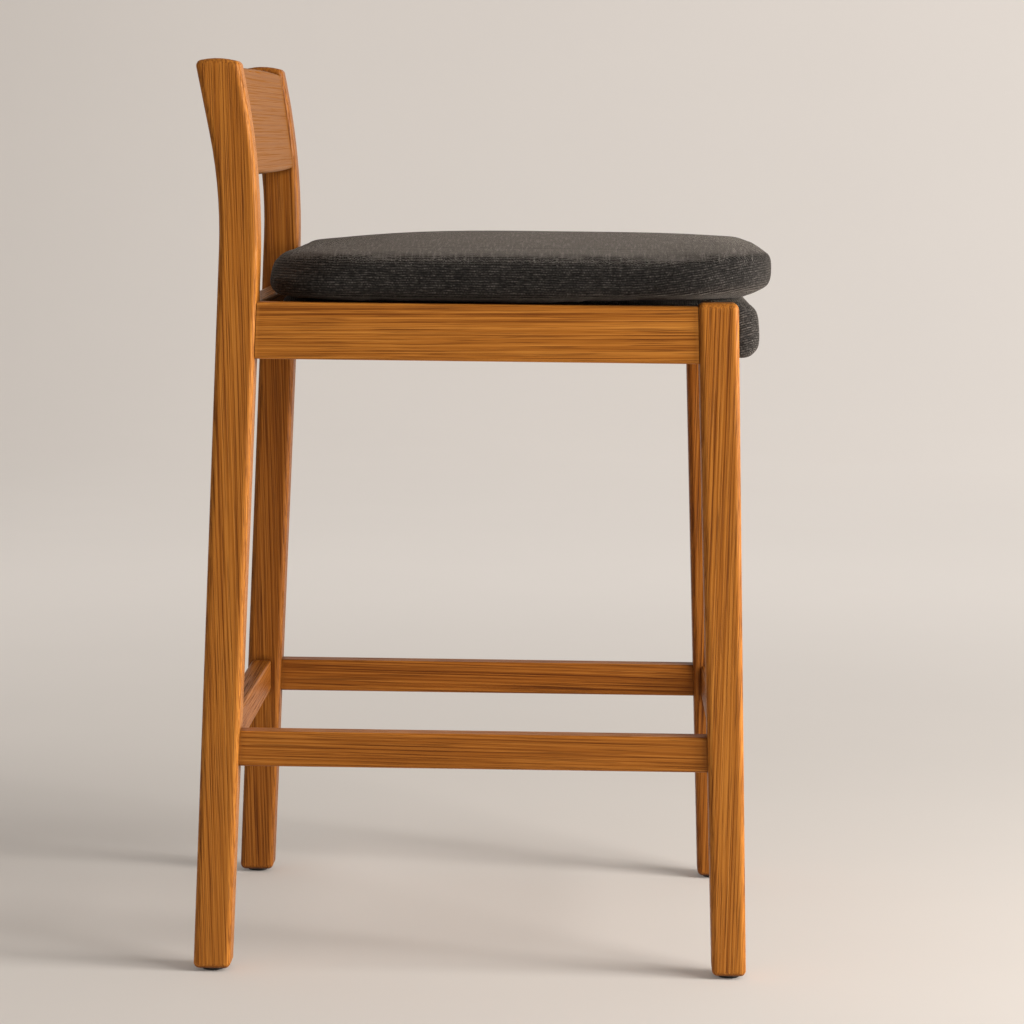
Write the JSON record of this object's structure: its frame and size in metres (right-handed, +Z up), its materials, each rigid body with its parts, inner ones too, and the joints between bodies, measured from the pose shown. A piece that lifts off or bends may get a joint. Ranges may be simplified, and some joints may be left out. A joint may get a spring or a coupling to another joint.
{
  "type": "counter stool",
  "caption": "Wooden counter-height stool with a low back panel, footrest stretchers, a padded seat and a loose seat cushion.",
  "frame": {"origin": "on the floor, under the middle of the stool's bounding box", "axes": "+Z up; the sitter faces -Y, so the back panel is on the +Y side; +X is the sitter's left"},
  "size_m": [0.48, 0.5238, 0.8365],
  "materials": {
    "leg_wood": "satin",
    "rail_wood": "satin",
    "stretcher_wood": "satin",
    "panel_wood": "satin",
    "inner_wood": "matte",
    "plywood": "matte",
    "screw_steel": "satin",
    "nail_steel": "satin",
    "glide_plastic": "matte",
    "cushion_fabric": "matte",
    "pad_fabric": "matte",
    "foam": "matte",
    "zip_tape": "matte",
    "zip_metal": "satin"
  },
  "bodies": {
    "frame": {"back_panel": "panel_wood", "cleat_screws": "screw_steel", "corner_block_front_left": "inner_wood", "corner_block_front_right": "inner_wood", "corner_block_rear_left": "inner_wood", "corner_block_rear_right": "inner_wood", "footrest": "stretcher_wood", "front_leg_left": "leg_wood", "front_leg_right": "leg_wood", "front_rail": "rail_wood", "front_roll_foam": "foam", "glide_front_left": "glide_plastic", "glide_front_right": "glide_plastic", "glide_nails": "nail_steel", "glide_rear_left": "glide_plastic", "glide_rear_right": "glide_plastic", "rear_leg_left": "leg_wood", "rear_leg_right": "leg_wood", "rear_rail": "rail_wood", "rear_stretcher": "stretcher_wood", "seat_board": "plywood", "seat_board_screws": "screw_steel", "seat_pad_cover": "pad_fabric", "seat_pad_foam": "foam", "side_cleat_left": "inner_wood", "side_cleat_right": "inner_wood", "side_rail_left": "rail_wood", "side_rail_right": "rail_wood", "side_stretcher_left": "stretcher_wood", "side_stretcher_right": "stretcher_wood"},
    "cushion": {"cushion_cover": "cushion_fabric", "cushion_foam": "foam", "cushion_zip_slider": "zip_metal", "cushion_zip_tape": "zip_tape"}
  },
  "joints": [
    {"name": "cushion_lift", "type": "slide", "parent": "frame", "child": "cushion", "axis": [0, 0, 1], "range_m": [0, 0.15]}
  ]
}
